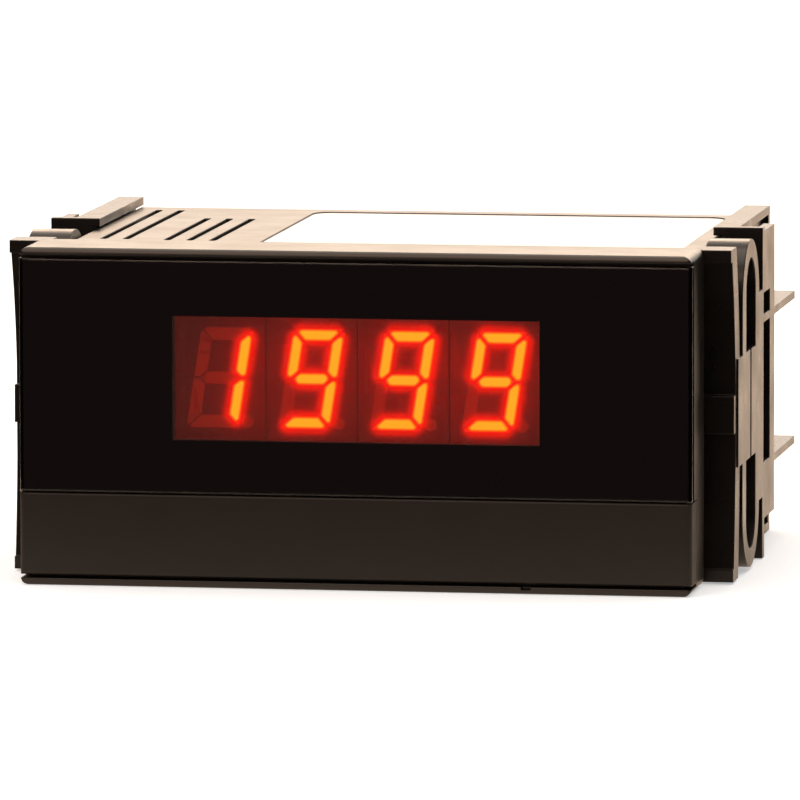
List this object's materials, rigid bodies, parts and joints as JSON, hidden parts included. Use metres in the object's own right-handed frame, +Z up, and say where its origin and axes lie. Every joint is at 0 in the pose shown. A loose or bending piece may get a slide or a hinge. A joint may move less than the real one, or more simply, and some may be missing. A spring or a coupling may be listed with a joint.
{
  "type": "digital panel meter",
  "caption": "Black 96 x 48 mm digital panel meter with a smoked lens, an orange-red segment display, a pull-off lower cover, rear screw terminals and clip-on spring brackets.",
  "frame": {"origin": "middle of the plane in which the bezel's rim seats on the panel", "axes": "+X to the right seen from the front, +Y into the panel towards the terminals, +Z up"},
  "size_m": [0.104, 0.0888, 0.048],
  "materials": {
    "housing_plastic": "moulded black ABS, fine eroded grain",
    "cover_plastic": "moulded black ABS, satin",
    "bracket_plastic": "moulded black acetal, slightly waxy",
    "rear_plastic": "moulded black ABS",
    "smoked_lens": "polished smoked acrylic",
    "digit_face": "dark red filled epoxy face",
    "led_lit": "diffused epoxy, lit",
    "led_dark": "diffused epoxy, unlit",
    "circuit_board": "glass-epoxy laminate with green resist",
    "plated_steel": "zinc-plated steel",
    "tinned_brass": "tinned brass",
    "trimmer_plastic": "blue moulded thermoset",
    "connector_plastic": "black nylon with tinned pins",
    "chip_epoxy": "black epoxy package",
    "core_steel": "varnished silicon-steel laminations",
    "winding_tape": "polyester tape over copper winding",
    "capacitor_sleeve": "shrunk PVC sleeve on aluminium can",
    "film_capacitor": "dipped epoxy",
    "resistor_body": "lacquered ceramic",
    "terminal_plastic": "glass-filled black nylon",
    "label_film": "blank white polyester label"
  },
  "bodies": {
    "meter": {"housing": "housing_plastic", "front_lens": "smoked_lens", "led_digit_1": "digit_face", "led_digit_2": "digit_face", "led_digit_3": "digit_face", "led_digit_4": "digit_face", "lit_segments_1": "led_lit", "lit_segments_2": "led_lit", "lit_segments_3": "led_lit", "lit_segments_4": "led_lit", "dark_segments_1": "led_dark", "dark_segments_2": "led_dark", "dark_segments_3": "led_dark", "dark_segments_4": "led_dark", "display_board": "circuit_board", "display_board_screws": "plated_steel", "zero_trimmer_body": "trimmer_plastic", "span_trimmer_body": "trimmer_plastic", "main_board": "circuit_board", "board_header": "connector_plastic", "converter_chip": "chip_epoxy", "transformer_core": "core_steel", "transformer_winding": "winding_tape", "smoothing_capacitors": "capacitor_sleeve", "film_capacitors": "film_capacitor", "resistors": "resistor_body", "voltage_regulator": "chip_epoxy", "terminal_block": "terminal_plastic", "terminal_legs": "tinned_brass", "terminal_clamps": "tinned_brass", "terminal_screws": "plated_steel", "rear_cover": "rear_plastic", "rear_screws": "plated_steel", "top_label": "label_film"},
    "bracket_left": {"bracket_left": "bracket_plastic"},
    "bracket_right": {"bracket_right": "bracket_plastic"},
    "lower_cover": {"lower_cover": "cover_plastic"},
    "zero_trimmer": {"zero_trimmer_rotor": "tinned_brass"},
    "span_trimmer": {"span_trimmer_rotor": "tinned_brass"}
  },
  "joints": [
    {"name": "bracket_left_slide", "type": "slide", "parent": "meter", "child": "bracket_left", "axis": [0, 1, 0], "range_m": [0, 0.034]},
    {"name": "bracket_right_slide", "type": "slide", "parent": "meter", "child": "bracket_right", "axis": [0, 1, 0], "range_m": [0, 0.034]},
    {"name": "lower_cover_pull", "type": "slide", "parent": "meter", "child": "lower_cover", "axis": [0, -1, 0], "range_m": [0, 0.008]},
    {"name": "zero_trim", "type": "hinge", "parent": "meter", "child": "zero_trimmer", "pos_m": [0.014, -0.0045, -0.0156], "axis": [0, 1, 0], "range_deg": [-130, 130]},
    {"name": "span_trim", "type": "hinge", "parent": "meter", "child": "span_trimmer", "pos_m": [0.027, -0.0045, -0.0156], "axis": [0, 1, 0], "range_deg": [-130, 130]}
  ]
}
